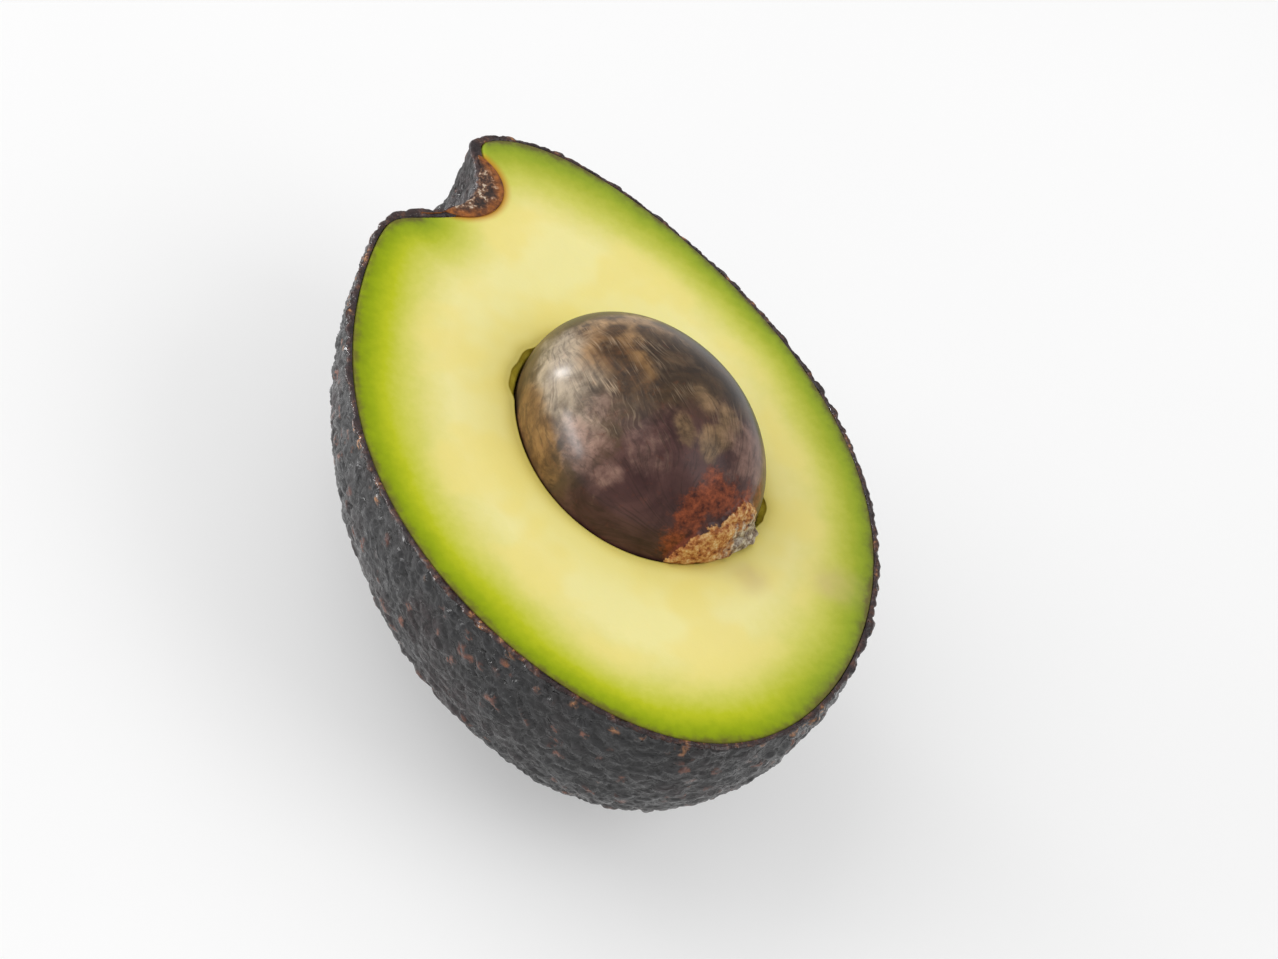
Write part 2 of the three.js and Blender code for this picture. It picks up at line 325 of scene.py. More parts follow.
# The stage. Each light has its direction from the fruit, its distance, its width and height, all
# in metres, and its power in watts.
LIGHTS = {
    "key": ((-0.6, 0.5, 0.85), 1.6, 1.8, 1.8, 11.0),
    "strip": ((-0.54, 0.84, 0.06), 1.4, 0.1, 0.3, 6.0),
    "side": ((-0.95, 0.3, 0.1), 1.4, 0.8, 0.22, 11.5),
    "fill": ((0.6, -0.5, 0.85), 1.6, 1.1, 1.1, 6.5),
}
WORLD_STRENGTH = 0.58
FLOOR_REACH = 1.6
FLOOR_GREYS = (0.6, 0.62)
WHITE = (1, 1, 1, 1)

# Numbers of the scattering in scattered, and how far a cell's spot may lie from its middle.
HASH_AXES = np.array([73856093, 19349663, 83492791])
HASH_SEED = 7919
HASH_FACTOR = np.uint64(6364136223846793005)
HASH_STEP = np.uint64(1442695040888963407)
HASH_MIXER = np.uint64(0x9E3779B97F4A7C15)
HASH_FOLD = np.uint64(31)
HASH_KEPT_FROM = np.uint64(40)
HASH_RANGE = 2**24
CELL_SCATTER = 0.85
OCTAVE_SHIFT = 17.3

HALVINGS = 30
ALMOST_ONE = 0.999999
TINY = 1e-12
WELD = 1e-6


# Shape functions. Points are rows of an array, in millimetres.


def half_width(along, growth):
    """Half the fruit's width, for places from -1 to 1 along it, grown outwards."""
    slimming = 1 - NECK_TAPER * along - END_TAPER * along**2
    return (FLESH_WIDTH / 2 + growth) * np.sqrt(np.clip(1 - along**2, 0, 1)) * slimming


def half_depth(along, growth):
    return half_width(along, growth) * (DEPTH + DEPTH_AT_ENDS * along**2)


def is_inside(points, growth):
    """Whether points lie in the fruit, which is taken to be whole and without its hollow."""
    half_length = FLESH_LENGTH / 2 + growth
    along = np.clip(points[:, 1] / half_length, -ALMOST_ONE, ALMOST_ONE)
    across = np.abs(points[:, 0]) / half_width(along, growth)
    down = np.abs(points[:, 2]) / half_depth(along, growth)
    in_reach = np.abs(points[:, 1]) < half_length
    return in_reach & (across**SECTION_POWER + down**SECTION_POWER < 1)


def farthest(holds, count, limit):
    """For each of so many lines, how far along it a test still holds, found by halving."""
    near = np.zeros(count)
    far = np.full(count, limit)
    for _ in range(HALVINGS):
        middle = (near + far) / 2
        held = holds(middle[:, None])
        near = np.where(held, middle, near)
        far = np.where(held, far, middle)
    return near


def out_of_hollow(points, lining):
    """The points, with those in the stem hollow pushed out onto its wall."""
    away = points - HOLLOW_CENTRE
    shares = np.abs(away) / (HOLLOW_RADII + lining)
    reach = (shares**HOLLOW_POWER).sum(axis=1) ** (1 / HOLLOW_POWER)
    pushed = (reach**HOLLOW_BLEND + 1) ** (1 / HOLLOW_BLEND)
    return HOLLOW_CENTRE + away * (pushed / reach)[:, None]


def out_of_scar(points, gap):
    """The points, with those in the corky scar's ball pushed out onto it."""
    away = points - SCAR_CENTRE
    reach = np.linalg.norm(away, axis=1) / (SCAR_RADIUS + gap)
    pushed = (reach**SCAR_BLEND + 1) ** (1 / SCAR_BLEND)
    return SCAR_CENTRE + away * (pushed / reach)[:, None]


def fruit_surface(places, growth, lining=0.0):
    """Where lines from the middle, towards places on a unit sphere, meet the fruit's surface."""
    direction = places * np.array([FLESH_WIDTH, FLESH_LENGTH, FLESH_WIDTH])
    direction /= np.linalg.norm(direction, axis=1, keepdims=True)
    reach = farthest(lambda length: is_inside(direction * length, growth), len(places), FLESH_LENGTH)
    return out_of_hollow(direction * reach[:, None], lining)


def rest_depth():
    """Depth of the flat spot that the fruit rests on, under the cut face."""
    return (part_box("skin")[1].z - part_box("skin")[0].z) / MM


def on_seed(places, growth):
    """Points on the seed's smooth ovoid for places on a unit sphere."""
    taper = 1 - SEED_TAPER * places[:, 1:2]
    points = places * (SEED_HALF + growth) * np.hstack([taper, np.ones_like(taper), taper])
    turn = np.array(Matrix.Rotation(SEED_TURN, 3, "Z"))
    return points @ turn.T + SEED_CENTRE


def sphere_ring(turns, polar):
    """Places on the lower half of a unit sphere, all at one angle from straight down."""
    level = np.full(len(turns), math.sin(polar))
    return np.stack([level * np.cos(turns), level * np.sin(turns), 0 * level - math.cos(polar)], -1)


# Scattered numbers, noise and cells, the same in every run.


def scattered(places, seed):
    """Three numbers from 0 to 1 for each row of whole numbers."""
    state = ((places * HASH_AXES).sum(axis=-1) + seed * HASH_SEED).astype(np.uint64)
    numbers = []
    for _ in range(3):
        state = state * HASH_FACTOR + HASH_STEP
        mixture = (state ^ (state >> HASH_FOLD)) * HASH_MIXER
        numbers.append((mixture >> HASH_KEPT_FROM).astype(float) / HASH_RANGE)
    return np.stack(numbers, axis=-1)


def noise(points, size, seed, octaves=1):
    """Smooth noise from -1 to 1 with waves of about the given size."""
    total = np.zeros(len(points))
    weight = 1.0
    weights = 0.0
    for octave in range(octaves):
        scaled = points / size + OCTAVE_SHIFT * octave
        base = np.floor(scaled).astype(np.int64)
        part = scaled - base
        part = part * part * (3 - 2 * part)
        value = np.zeros(len(points))
        for corner in itertools.product((0, 1), repeat=3):
            share = np.prod(np.where(corner, part, 1 - part), axis=1)
            value += share * scattered(base + np.array(corner), seed + octave)[:, 0]
        total += weight * (2 * value - 1)
        weights += weight
        weight /= 2
        size /= 2
    return total / weights


def warped(points, size, amount, seed):
    """The points moved about smoothly, so that what is cut from them has uneven outlines."""
    moves = [noise(points, size, seed + axis) for axis in range(3)]
    return points + amount * np.stack(moves, axis=-1)


def cells(points, size, seed):
    """For each point the room to its cell's edge, 0 there, and a number for its cell."""
    scaled = points / size
    base = np.floor(scaled).astype(np.int64)
    first = np.full(len(points), np.inf)
    second = np.full(len(points), np.inf)
    number = np.zeros(len(points))
    for step in itertools.product((-1, 0, 1), repeat=3):
        cell = base + np.array(step)
        spot = cell + 0.5 + CELL_SCATTER * (scattered(cell, seed) - 0.5)
        distance = np.linalg.norm(scaled - spot, axis=1)
        nearer = distance < first
        second = np.where(nearer, first, np.minimum(second, distance))
        number = np.where(nearer, scattered(cell, seed + 1)[:, 0], number)
        first = np.minimum(first, distance)
    return second - first, number


def smooth_step(value, low, high):
    """An eased rise from 0 at low to 1 at high. Low may be the greater of the two."""
    part = np.clip((value - low) / (high - low), 0, 1)
    return part * part * (3 - 2 * part)


def bell(distance, reach):
    return np.exp(-((distance / reach) ** 2))


def sum_of_patches(places, patches):
    """How far soft round patches cover each place, from 0 to 1."""
    cover = np.zeros(len(places))
    for spot, reach, most in patches:
        distance = np.linalg.norm(places - np.array(spot), axis=1)
        fading = smooth_step(distance, PATCH_CORE * reach, PATCH_END * reach)
        cover = np.maximum(cover, most * (1 - fading))
    return cover


# Meshes.


def normals_of(points, faces):
    """Vertex normals of a mesh of four-cornered faces."""
    a, b, c, d = (points[faces[:, corner]] for corner in range(4))
    face_normals = np.cross(c - a, d - b)
    normals = np.zeros_like(points)
    for corner in range(4):
        np.add.at(normals, faces[:, corner], face_normals)
    return normals / np.maximum(np.linalg.norm(normals, axis=1, keepdims=True), TINY)


def add_piece(name, points, faces, material, attributes, node):
    """A smooth mesh from points in millimetres, hung under the root, which replaces the node and
    hides it.
    """
    mesh = bpy.data.meshes.new(name)
    mesh.from_pydata((points * MM + np.array(MIDDLE)).tolist(), [], [list(f) for f in faces])
    mesh.shade_smooth()
    for key, values in attributes.items():
        values = np.asarray(values, np.float32)
        if values.ndim == 2:
            layer = mesh.attributes.new(key, "FLOAT_VECTOR", "POINT")
            layer.data.foreach_set("vector", values.ravel())
        else:
            layer = mesh.attributes.new(key, "FLOAT", "POINT")
            layer.data.foreach_set("value", values)
    mesh.materials.append(material)
    mesh.validate()
    piece = bpy.data.objects.new(name, mesh)
    bpy.context.scene.collection.objects.link(piece)
    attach(piece, "root")
    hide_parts(node)


def grid_faces(number):
    """Faces of one or more grids of vertex numbers."""
    corners = [number[..., :-1, :-1], number[..., :-1, 1:], number[..., 1:, 1:], number[..., 1:, :-1]]
    return np.stack(corners, axis=-1).reshape(-1, 4)


def grid_edge(number):
    """The vertex numbers round a grid's edge."""
    return np.concatenate([number[0, :-1], number[:-1, -1], number[-1, :0:-1], number[:0:-1, 0]])


def band(lower, upper, flip=False):
    """Faces between two closed rows of vertex numbers."""
    faces = np.stack([lower, np.roll(lower, -1), np.roll(upper, -1), upper], axis=-1)
    return faces[:, ::-1] if flip else faces


def fan(row, tip):
    """Three-cornered faces between a closed row of vertex numbers and one more."""
    return [(a, b, tip) for a, b in zip(row, np.roll(row, -1))]


def bowl_grid(count):
    """Places on the lower half of a unit sphere, as a square grid, with its faces and its edge."""
    a, b = np.meshgrid(np.linspace(-1, 1, count + 1), np.linspace(-1, 1, count + 1))
    wide = np.abs(a) > np.abs(b)
    radius = np.where(wide, a, b)
    ratio = np.divide(np.where(wide, b, a), radius, out=np.zeros_like(a), where=radius != 0)
    turn = np.where(wide, ratio * math.pi / 4, QUARTER_TURN - ratio * math.pi / 4)
    x = (radius * np.cos(turn)).ravel()
    y = (radius * np.sin(turn)).ravel()
    reach = np.hypot(x, y)
    level = np.divide(np.sin(reach * QUARTER_TURN), reach, out=np.ones_like(reach), where=reach > 0)
    places = np.stack([x * level, y * level, -np.cos(reach * QUARTER_TURN)], axis=-1)
    number = np.arange((count + 1) ** 2).reshape(count + 1, count + 1)
    edge = grid_edge(number)
    places[edge, 2] = 0
    return places, grid_faces(number)[:, [0, 3, 2, 1]], edge


def ball_grid(count):
    """Places on a unit sphere, as six square grids joined at their edges, with their faces."""
    turn = np.tan(np.linspace(-math.pi / 4, math.pi / 4, count + 1))
    a, b = np.meshgrid(turn, turn)
    sides = []
    for axis in range(3):
        for sign in (1, -1):
            side = np.stack([np.ones_like(a) * sign, a * sign, b], axis=-1)
            sides.append(np.roll(side, axis, axis=-1).reshape(-1, 3))
    places = np.concatenate(sides)
    places /= np.linalg.norm(places, axis=1, keepdims=True)
    number = np.arange(len(places)).reshape(6, count + 1, count + 1)
    rounded = np.round(places / WELD).astype(np.int64)
    _, first, merged = np.unique(rounded, axis=0, return_index=True, return_inverse=True)
    return places[first], merged.ravel()[grid_faces(number)]


# Node graphs.


def new_material(name):
    """A material's shader, its node tree, and the point on the object to feed textures."""
    material = bpy.data.materials.new(name)
    material.use_nodes = True
    tree = material.node_tree
    point = add_node(tree, "ShaderNodeTexCoord").outputs["Object"]
    return material, tree, tree.nodes["Principled BSDF"], point


def link_or_set(tree, socket, value):
    if isinstance(value, bpy.types.NodeSocket):
        tree.links.new(value, socket)
    else:
        socket.default_value = value


def add_node(tree, kind, **settings):
    node = tree.nodes.new(kind)
    for key, value in settings.items():
        setattr(node, key, value)
    return node


def noise_texture(tree, vector, size, detail=3.0, roughness=0.55, distortion=0.0):
    """Noise with waves of about the given size in millimetres."""
    node = add_node(tree, "ShaderNodeTexNoise")
    node.inputs["Scale"].default_value = 1 / (size * MM)
    node.inputs["Detail"].default_value = detail
    node.inputs["Roughness"].default_value = roughness
    node.inputs["Distortion"].default_value = distortion
    tree.links.new(vector, node.inputs["Vector"])
    return node.outputs["Fac"]


def lengthways(tree, vector, stretch):
    """The point, squeezed so that a texture is drawn out along Y."""
    mapping = add_node(tree, "ShaderNodeMapping", vector_type="TEXTURE")
    mapping.inputs["Scale"].default_value = (1, stretch, 1)
    tree.links.new(vector, mapping.inputs["Vector"])
    return mapping.outputs["Vector"]


def attribute(tree, name, output="Fac"):
    return add_node(tree, "ShaderNodeAttribute", attribute_name=name).outputs[output]


def maths(tree, operation, first, second):
    node = add_node(tree, "ShaderNodeMath", operation=operation)
    link_or_set(tree, node.inputs[0], first)
    link_or_set(tree, node.inputs[1], second)
    return node.outputs[0]


def spread(tree, value, source, target=(0.0, 1.0)):
    """The value's range from one number to another, eased onto a second range and held there."""
    node = add_node(tree, "ShaderNodeMapRange", interpolation_type="SMOOTHSTEP")
    tree.links.new(value, node.inputs["Value"])
    for name, number in zip(("From Min", "From Max", "To Min", "To Max"), (*source, *target)):
        node.inputs[name].default_value = number
    return node.outputs["Result"]


def mixed(tree, factor, first, second):
    node = add_node(tree, "ShaderNodeMix", data_type="RGBA")
    link_or_set(tree, node.inputs["Factor"], factor)
    link_or_set(tree, node.inputs["A"], first)
    link_or_set(tree, node.inputs["B"], second)
    return node.outputs["Result"]


def ramp(tree, value, stops):
    """Colours along a value: stops are pairs of a place from 0 to 1 and a linear colour."""
    node = add_node(tree, "ShaderNodeValToRGB")
    elements = node.color_ramp.elements
    for number, (position, shade) in enumerate(stops):
        element = elements[number] if number < 2 else elements.new(position)
        element.position = position
        element.color = shade
    tree.links.new(value, node.inputs["Fac"])
    return node.outputs["Color"]


def toned(tree, value, tones, reach=1.0):
    """Screen colours along a value, for places from 0 to a reach that stands for its 1."""
    return ramp(tree, value, [(place / reach, colour(*tone)) for place, tone in tones])


def bump(tree, height, distance, strength=1.0, below=None):
    """A surface made uneven by a height from 0 to 1, which stands for so many millimetres."""
    node = add_node(tree, "ShaderNodeBump")
    node.inputs["Distance"].default_value = distance * MM
    node.inputs["Strength"].default_value = strength
    tree.links.new(height, node.inputs["Height"])
    if below is not None:
        tree.links.new(below, node.inputs["Normal"])
    return node.outputs["Normal"]


def colour(red, green, blue):
    """A colour as seen on a screen, in the renderer's linear values."""
    parts = [part / 255 for part in (red, green, blue)]
    linear = [p / 12.92 if p <= 0.04045 else ((p + 0.055) / 1.055) ** 2.4 for p in parts]
    return (*linear, 1.0)


# Materials.


def skin_material():
    material, tree, shader, point = new_material("skin")
    broad = noise_texture(tree, point, size=14, detail=2)
    fine = noise_texture(tree, point, size=0.9, detail=4, roughness=0.6)
    plum_share = spread(tree, broad, (0.45, 0.65), (0, 0.7))
    charcoal = toned(tree, fine, CHARCOAL_TONES)
    base = mixed(tree, plum_share, charcoal, toned(tree, fine, PLUM_TONES))
    # Painted shade: the lower a point lies between the pebbles, the more it turns near-black.
    groove_shade = spread(tree, attribute(tree, "height"), (0.0, 0.4), (0.85, 0))
    base = mixed(tree, groove_shade, base, colour(*PAINTED_GROOVE_SHADE))
    speckle = noise_texture(tree, point, size=1.4)
    rust = toned(tree, speckle, RUST_TONES)
    tan = toned(tree, speckle, TAN_TONES)
    rust = mixed(tree, attribute(tree, "near_rim"), rust, tan)
    ragged = maths(tree, "MULTIPLY", attribute(tree, "fleck"), spread(tree, fine, (0.4, 0.55)))
    base = mixed(tree, ragged, base, rust)
    cork = noise_texture(tree, point, size=2.0, detail=5, roughness=0.7)
    base = mixed(tree, attribute(tree, "cut"), base, toned(tree, cork, RIM_TONES))
    tree.links.new(base, shader.inputs["Base Color"])
    gloss = spread(tree, noise_texture(tree, point, size=2.5), (0.35, 0.65), (0.14, 0.44))
    tree.links.new(gloss, shader.inputs["Roughness"])
    shader.inputs["Specular IOR Level"].default_value = 0.45
    grit = noise_texture(tree, point, size=0.45, roughness=0.6)
    pores = bump(tree, grit, distance=0.12, strength=0.55)
    creases = noise_texture(tree, point, size=1.7, detail=2, roughness=0.45, distortion=0.8)
    folds = bump(tree, creases, distance=0.75, strength=0.8, below=pores)
    tree.links.new(folds, shader.inputs["Normal"])
    return material


def flesh_material():
    material, tree, shader, point = new_material("flesh")
    rim = attribute(tree, "rim")
    near_seed = attribute(tree, "near_seed")
    grain = noise_texture(tree, point, size=1.2, detail=4, roughness=0.6)
    uneven = maths(tree, "ADD", rim, spread(tree, grain, (0.3, 0.7), (-0.3, 0.3)))
    share = maths(tree, "MULTIPLY", uneven, 1 / BAND_REACH)
    base = toned(tree, share, BAND_TONES, BAND_REACH)
    vivid = toned(tree, share, VIVID_TONES, BAND_REACH)
    left = maths(tree, "MULTIPLY", attribute(tree, "left"), spread(tree, rim, (4, 9), (0.9, 0)))
    base = mixed(tree, left, base, vivid)
    warm = spread(tree, noise_texture(tree, point, size=11, detail=2), (0.42, 0.62), (0, 0.7))
    warm = maths(tree, "MULTIPLY", warm, spread(tree, rim, (5, 11)))
    for cover, tone in (
        (warm, WARM_TONE),
        (spread(tree, near_seed, (2.0, 9.0), (0.45, 0)), GLOW_TONE),
        (spread(tree, near_seed, (0.0, 2.5), (0.6, 0)), HALO_TONE),
        (spread(tree, attribute(tree, "near_scar"), (0.0, 1.4), (0.9, 0)), STAIN_TONE),
        (attribute(tree, "smudge"), SMUDGE_TONE),
    ):
        base = mixed(tree, cover, base, colour(*tone))
    base = mixed(tree, attribute(tree, "cavity"), base, toned(tree, grain, CAVITY_TONES))
    tree.links.new(base, shader.inputs["Base Color"])
    gloss = spread(tree, noise_texture(tree, point, size=3), (0.35, 0.65), (0.36, 0.52))
    tree.links.new(gloss, shader.inputs["Roughness"])
    shader.inputs["Specular IOR Level"].default_value = 0.1
    shader.inputs["Subsurface Weight"].default_value = 0.15
    shader.inputs["Subsurface Radius"].default_value = (1.0, 0.8, 0.35)
    shader.inputs["Subsurface Scale"].default_value = MM
    pores = noise_texture(tree, point, size=0.5, detail=2)
    tree.links.new(bump(tree, pores, distance=0.02, strength=0.6), shader.inputs["Normal"])
    return material


def with_fibres(tree, base, point, fibres):
    """The seed coat with dark fibres all over, and with pale ones and hairs where it is haired."""
    hair_run = lengthways(tree, attribute(tree, "run", "Vector"), stretch=13)
    hairs = noise_texture(tree, hair_run, size=0.28, detail=2, roughness=0.5)
    patches = noise_texture(tree, point, size=5.5, detail=2, roughness=0.5, distortion=0.4)
    patches = spread(tree, patches, (0.42, 0.62), (0.1, 0.6))
    haired = maths(tree, "MULTIPLY", attribute(tree, "haired"), patches)
    veins = maths(tree, "MULTIPLY", spread(tree, hairs, (0.52, 0.68)), haired)
    cloudy = maths(tree, "MULTIPLY", spread(tree, fibres, (0.48, 0.66), (0, 0.3)), haired)
    dark = spread(tree, fibres, (0.34, 0.52), (0.45, 0))
    base = mixed(tree, dark, base, colour(*DARK_FIBRE_TONE))
    return mixed(tree, maths(tree, "MAXIMUM", veins, cloudy), base, colour(*HAIR_TONE))


def seed_material():
    material, tree, shader, point = new_material("seed")
    textures = {
        "fine": noise_texture(tree, point, size=0.8, detail=4, roughness=0.65),
        "mottle": noise_texture(tree, point, size=6.0, detail=4, distortion=0.5),
        "blots": noise_texture(tree, point, size=2.6, detail=5, roughness=0.6, distortion=0.3),
    }
    base = toned(tree, textures["mottle"], SEED_TONES)
    for name, most, tones, texture in COAT_LAYERS:
        uneven = spread(tree, textures["blots"], (0.3, 0.7), (-0.18, 0.18))
        ragged = maths(tree, "ADD", attribute(tree, name), uneven)
        cover = maths(tree, "MULTIPLY", spread(tree, ragged, (0.1, 0.95)), most)
        base = mixed(tree, cover, base, toned(tree, textures[texture], tones))
    fibre_run = lengthways(tree, attribute(tree, "run", "Vector"), stretch=3.5)
    fibres = noise_texture(tree, fibre_run, size=0.7, detail=4, roughness=0.65)
    base = with_fibres(tree, base, point, fibres)
    crumbs = noise_texture(tree, point, size=0.9, detail=5, roughness=0.7)
    for name, tones, limits in TORN_LAYERS:
        uneven = spread(tree, textures["fine"], (0.3, 0.7), (-0.25, 0.25))
        ragged = maths(tree, "ADD", attribute(tree, name), uneven)
        base = mixed(tree, spread(tree, ragged, limits), base, toned(tree, crumbs, tones))
    tree.links.new(base, shader.inputs["Base Color"])
    crust = attribute(tree, "crust")
    tree.links.new(spread(tree, crust, (0.3, 0.6), (0.38, 0.8)), shader.inputs["Roughness"])
    shader.inputs["Specular IOR Level"].default_value = 0.12
    shader.inputs["Coat Weight"].default_value = 0.24
    shader.inputs["Coat Roughness"].default_value = 0.19
    smooth = bump(tree, fibres, distance=0.03, strength=0.5)
    rough = bump(tree, crumbs, distance=0.3, strength=0.7, below=smooth)
    surface = add_node(tree, "ShaderNodeMix", data_type="VECTOR")
    tree.links.new(spread(tree, crust, (0.3, 0.6)), surface.inputs["Factor"])
    tree.links.new(smooth, surface.inputs["A"])
    tree.links.new(rough, surface.inputs["B"])
    tree.links.new(surface.outputs["Result"], shader.inputs["Normal"])
    return material


def scar_material():
    material, tree, shader, point = new_material("stem_scar")
    cork = noise_texture(tree, point, size=1.0, detail=5, roughness=0.7)
    flaky = toned(tree, cork, FLAKY_TONES)
    brown = toned(tree, cork, BROWN_TONES)
    base = mixed(tree, attribute(tree, "flesh_side"), flaky, brown)
    tree.links.new(base, shader.inputs["Base Color"])
    shader.inputs["Roughness"].default_value = 0.75
    tree.links.new(bump(tree, cork, distance=0.3), shader.inputs["Normal"])
    return material


def floor_material():
    material, tree, shader, point = new_material("floor")
    tone = noise_texture(tree, point, size=120, detail=2)
    dark, pale = ((grey, grey, grey, 1) for grey in FLOOR_GREYS)
    base = ramp(tree, tone, [(0.3, dark), (0.7, pale)])
    tree.links.new(base, shader.inputs["Base Color"])
    shader.inputs["Roughness"].default_value = 0.4
    shader.inputs["Emission Color"].default_value = WHITE
    shader.inputs["Emission Strength"].default_value = 0.33
    return material


# The skin.


def dome(room, width):
    """A rounded rise from 0 at a cell's edge to 1 at the given room to it."""
    return 1 - (1 - np.clip(room / width, 0, 1)) ** 2


def pebbled(points, normals, edge_room):
    """The skin's points raised into pebbles, with the height and the rusty fleck at each."""
    stretched = points * PEBBLE_STRETCH
    loose = warped(stretched, size=5.0, amount=1.5, seed=31)
    room, number = cells(loose, PEBBLE_SIZE, seed=5)
    small_loose = warped(stretched, size=2.0, amount=0.6, seed=41)
    small_room, small_number = cells(small_loose, PEBBLE_SIZE / 2, seed=9)
    large = dome(room, 0.62) * (LOWEST_PEBBLE + (1 - LOWEST_PEBBLE) * number)
    small = SMALL_PEBBLE_SHARE * dome(small_room, 0.6)
    vigour = 0.78 + 0.22 * noise(points, size=12.0, seed=51)
    height = vigour * (large + small) / (1 + SMALL_PEBBLE_SHARE)
    waves = SKIN_WAVES * noise(points, size=9.0, seed=61, octaves=2)
    raised = points + normals * (PEBBLE_HEIGHT * height + waves)[:, None]
    level = FLECK_LEVEL - FLECK_LEVEL_DROP * np.exp(-edge_room / FLECK_RIM_REACH)
    fleck = np.maximum(
        smooth_step(number - level, 0, 0.01) * smooth_step(room, 0.25, 0.5),
        smooth_step(small_number - level, 0, 0.01) * smooth_step(small_room, 0.05, 0.3),
    )
    return raised, height, fleck


def make_skin():
    """The pebbled outer face, the ragged cut rim, and the inner wall down to its lowest point."""
    places, outer_faces, edge = bowl_grid(SKIN_GRID)
    smooth = fruit_surface(places, SKIN_FACE)
    normals = normals_of(smooth, outer_faces)
    normals[edge, 2] = 0
    normals /= np.linalg.norm(normals, axis=1, keepdims=True)
    outer, height, fleck = pebbled(smooth, normals, -smooth[:, 2])
    lowest = -rest_depth()
    outer[:, 2] = np.maximum(outer[:, 2], lowest)
    ragged = 0.5 + 0.5 * noise(smooth[edge], size=2.4, seed=65, octaves=3)
    inset, lip_drop, rim_drop = (
        least + more * ragged for least, more in (LIP_INSET, LIP_DROP, RIM_DROP)
    )
    lip = outer[edge] - normals[edge] * inset[:, None]
    lip[:, 2] = -lip_drop
    outer[edge, 2] = -rim_drop
    inner_edge = fruit_surface(places[edge], SKIN_BACK, HOLLOW_LINING)
    inner_edge[:, 2] = -INNER_RIM_DROP
    rings = [lip, inner_edge]
    turns = np.arctan2(places[edge, 1], places[edge, 0])
    for polar in np.radians(SKIN_POLARS):
        wall = fruit_surface(sphere_ring(turns, polar), SKIN_BACK, HOLLOW_LINING)
        wall[:, 2] = np.maximum(wall[:, 2], lowest + SKIN_LIFT)
        rings.append(wall)
    points = np.concatenate([outer, *rings, [[0, 0, lowest + SKIN_LIFT]]])
    rows = np.arange(len(rings) * len(edge)).reshape(len(rings), -1) + len(outer)
    rows = [edge, *rows]
    faces = [*outer_faces]
    for upper, lower in itertools.pairwise(rows):
        faces += [*band(upper, lower)]
    faces += fan(rows[-1], len(points) - 1)
    cut = np.zeros(len(points))
    cut[edge] = 0.75
    cut[rows[1]] = 1
    cut[rows[2]] = 1
    inner_count = len(points) - len(outer)
    attributes = {
        "height": np.concatenate([height, np.ones(inner_count)]),
        "fleck": np.concatenate([fleck, np.zeros(inner_count)]),
        "cut": cut,
        "near_rim": 1 - smooth_step(-points[:, 2], *TAN_REACH),
    }
    add_piece("skin_fine", points, faces, skin_material(), attributes, "skin")


# The flesh.


def distance_to(points, line, head_start=0.0):
    """Distance on the cut face from each point to a line, plus a head start of its points."""
    distances = []
    for part in np.array_split(points, 60):
        apart = np.linalg.norm(part[:, None, :2] - line[None, :, :2], axis=2)
        distances.append((apart + head_start).min(axis=1))
    return np.concatenate(distances)


def flesh_outside(polar, turns):
    """A ring of the flesh's outer wall."""
    wall = out_of_scar(fruit_surface(sphere_ring(turns, polar), 0.0, FLESH_LINING), SCAR_GAP)
    wall[:, 2] = np.maximum(wall[:, 2], FLESH_LIFT - rest_depth())
    return wall


def flesh_inside(polar, turns):
    """A ring of the cavity's wall, with the pockets in its edge."""
    pocket = np.zeros(len(turns))
    for start, end, room in POCKETS:
        opening = smooth_step(turns, start, start + POCKET_SLOPE)
        pocket += room * opening * smooth_step(turns, end, end - POCKET_SLOPE)
    rim_places = sphere_ring(turns, QUARTER_TURN) * SEED_SPAN
    pocket *= 0.85 + 0.3 * noise(rim_places, size=1.5, seed=75, octaves=2)
    opened = CAVITY_GAP + pocket * (1 - smooth_step(math.cos(polar), *POCKET_FLOOR))
    return on_seed(sphere_ring(turns, polar), opened[:, None])


def bearings(line):
    """Directions from the fan's centre to the points of a line, growing past a full turn."""
    away = line[:, :2] - FAN_CENTRE
    return np.unwrap(np.arctan2(away[:, 1], away[:, 0]))


def evened(turns, reach):
    """Growing angles once round a closed outline, each averaged with its neighbours."""
    steps = np.arange(-3 * reach, 3 * reach + 1)
    weights = bell(steps, reach)
    longer = np.concatenate([turns[steps[0] :] - FULL_TURN, turns, turns[: steps[-1]] + FULL_TURN])
    return np.convolve(longer, weights / weights.sum(), mode="valid")


def flesh_columns():
    """Angles round the fruit, evenly spaced along its outline, and those round the cavity that
    face them."""
    full = np.linspace(0, FULL_TURN, OUTLINE_SAMPLES)
    steps = np.linalg.norm(np.diff(flesh_outside(QUARTER_TURN, full), axis=0), axis=1)
    lengths = np.concatenate([[0], np.cumsum(steps)])
    wanted = np.linspace(0, lengths[-1], FLESH_COLUMNS, endpoint=False)
    turns = np.interp(wanted, lengths, full)
    from_hole = np.maximum.accumulate(bearings(flesh_inside(QUARTER_TURN, full)))
    edge_bearings = bearings(flesh_outside(QUARTER_TURN, turns))
    from_edge = np.maximum.accumulate(evened(edge_bearings, FAN_SMOOTHING))
    laps = [lap * FULL_TURN for lap in (-1, 0, 1)]
    lapped_bearings = np.concatenate([from_hole[:-1] + lap for lap in laps])
    lapped_turns = np.concatenate([full[:-1] + lap for lap in laps])
    return turns, np.interp(from_edge, lapped_bearings, lapped_turns)


